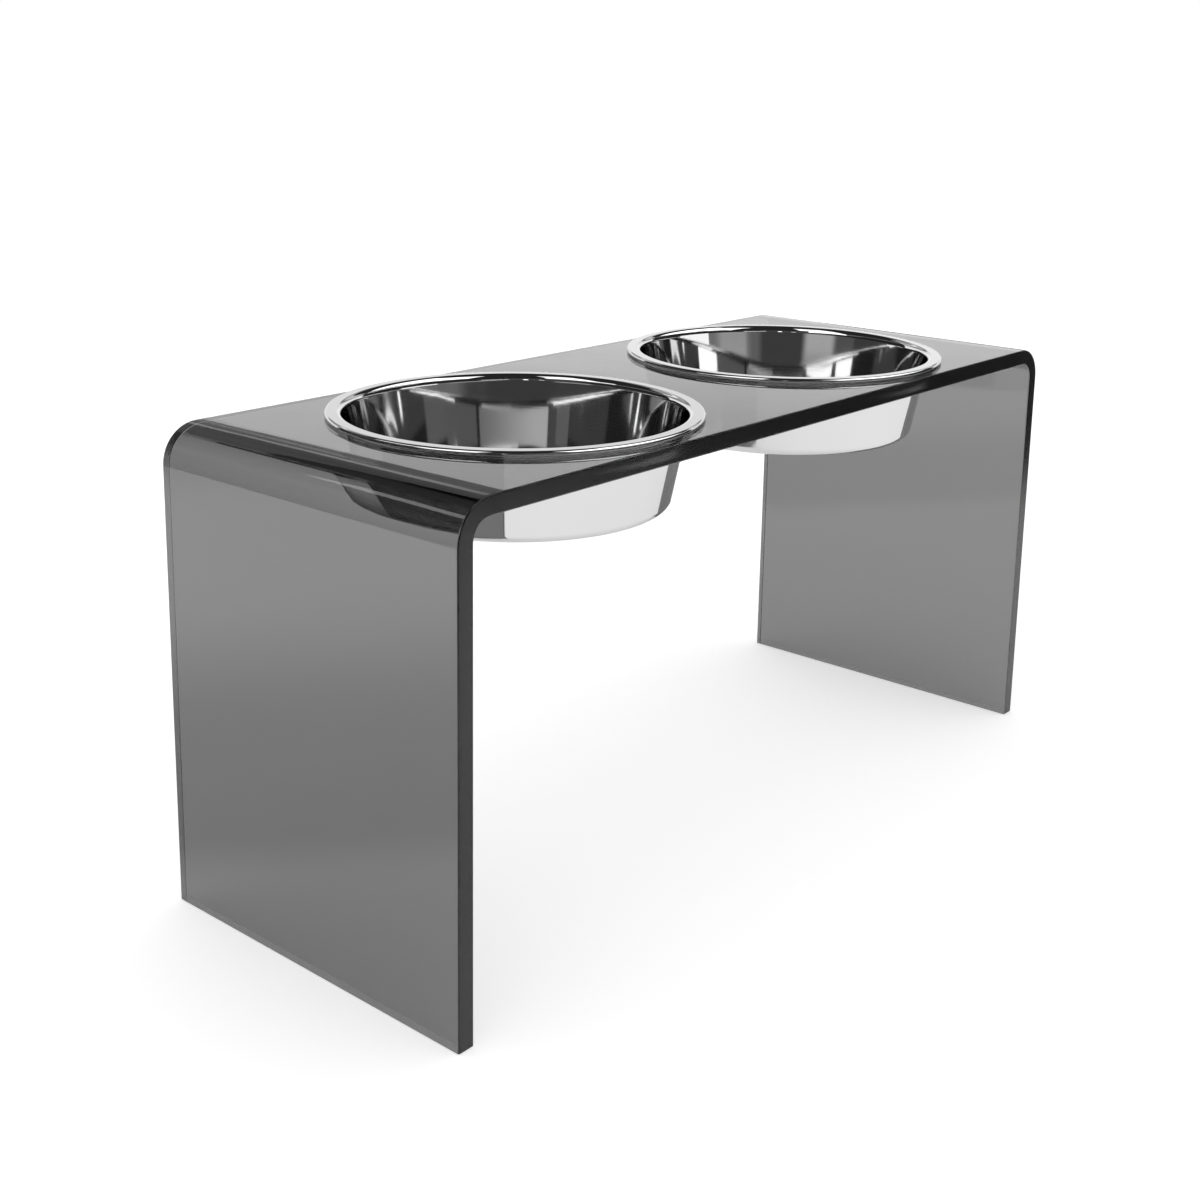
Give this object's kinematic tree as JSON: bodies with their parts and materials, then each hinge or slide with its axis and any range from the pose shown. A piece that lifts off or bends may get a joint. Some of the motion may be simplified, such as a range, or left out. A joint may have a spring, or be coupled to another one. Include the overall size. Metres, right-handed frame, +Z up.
{
  "type": "raised double pet bowl",
  "caption": "Arch-shaped stand bent from clear grey acrylic sheet, with lift-out stainless bowls hung by their rims in round cut-outs.",
  "frame": {"origin": "on the floor, under the middle of the stand", "axes": "+Z up, +X along the row of bowls from the left bowl to the right one, +Y to the back"},
  "size_m": [0.533, 0.206, 0.2571],
  "materials": {
    "smoked_acrylic": "clear smoked grey sheet with polished edges",
    "stainless_steel": "polished, with a faint brushed grain round the bowl"
  },
  "bodies": {
    "stand": {"stand": "smoked_acrylic"},
    "left_bowl": {"left_bowl": "stainless_steel"},
    "right_bowl": {"right_bowl": "stainless_steel"}
  },
  "joints": [
    {"name": "left_bowl_lift", "type": "slide", "parent": "stand", "child": "left_bowl", "axis": [0, 0, 1], "range_m": [0, 0.06]},
    {"name": "right_bowl_lift", "type": "slide", "parent": "stand", "child": "right_bowl", "axis": [0, 0, 1], "range_m": [0, 0.06]}
  ]
}
